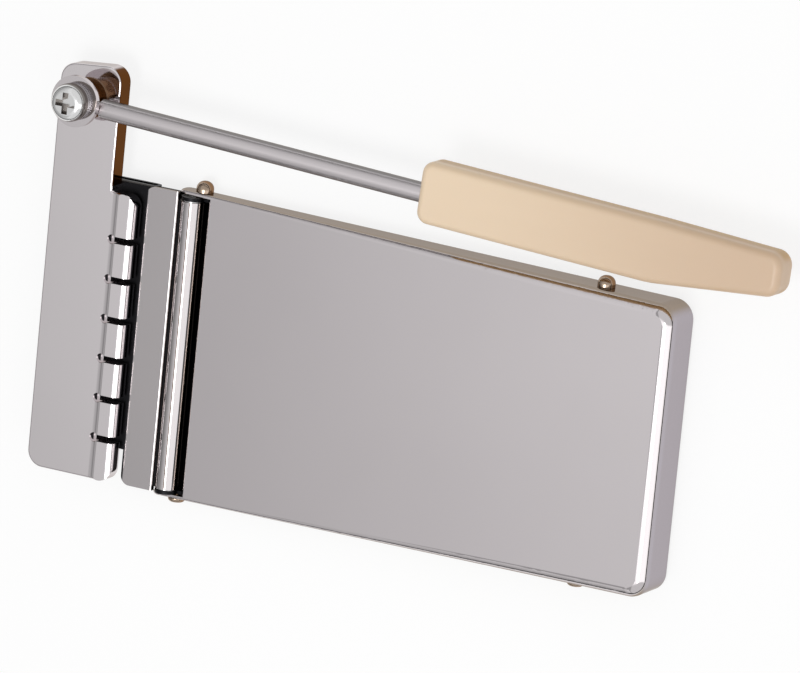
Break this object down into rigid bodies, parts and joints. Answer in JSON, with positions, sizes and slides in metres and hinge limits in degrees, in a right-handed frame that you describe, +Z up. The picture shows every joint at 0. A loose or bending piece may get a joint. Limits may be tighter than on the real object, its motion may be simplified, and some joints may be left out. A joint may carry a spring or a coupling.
{
  "type": "guitar tremolo bridge",
  "caption": "Chrome guitar tremolo tailpiece: a hinged string plate on a leaf spring, a long wedge-shaped cover over the base plate, and a swivelling arm with a cream handle.",
  "frame": {"origin": "centre of the four mounting holes, on the underside of the base plate", "axes": "+X from the string plate to the tail along the strings, +Y to the arm's side, +Z up away from the guitar's top"},
  "size_m": [0.2031, 0.107, 0.0228],
  "materials": {
    "chrome": "mirror polished",
    "plated_steel": "bright zinc plate",
    "spring_steel": "blackened",
    "brass": "satin",
    "ivory_plastic": "glossy"
  },
  "bodies": {
    "base": {"base_plate": "spring_steel", "hinge_bracket_far": "spring_steel", "hinge_bracket_near": "spring_steel", "rear_brackets": "spring_steel", "bracket_rivets": "spring_steel", "cover": "chrome", "cover_screws": "chrome", "hinge_pin": "plated_steel", "hinge_washers": "plated_steel"},
    "rocker": {"hinge_leaf": "chrome", "return_spring": "spring_steel", "string_plate": "chrome", "plate_screws": "spring_steel", "arm_screw": "chrome", "lock_washer": "plated_steel", "friction_washer": "brass", "arm_nut": "plated_steel"},
    "arm": {"arm_boss": "chrome", "arm_rod": "chrome", "arm_handle": "ivory_plastic"}
  },
  "joints": [
    {"name": "rocker_hinge", "type": "hinge", "parent": "base", "child": "rocker", "pos_m": [-0.0709, 0, 0.005], "axis": [0, 1, 0], "range_deg": [-4, 2], "stiffness_Nm_per_rad": 30, "deforming": ["return_spring"]},
    {"name": "arm_swivel", "type": "hinge", "parent": "rocker", "child": "arm", "pos_m": [-0.0994, 0.0583, 0.0142], "axis": [0, 0, 1], "range_deg": [-1, 165]}
  ]
}
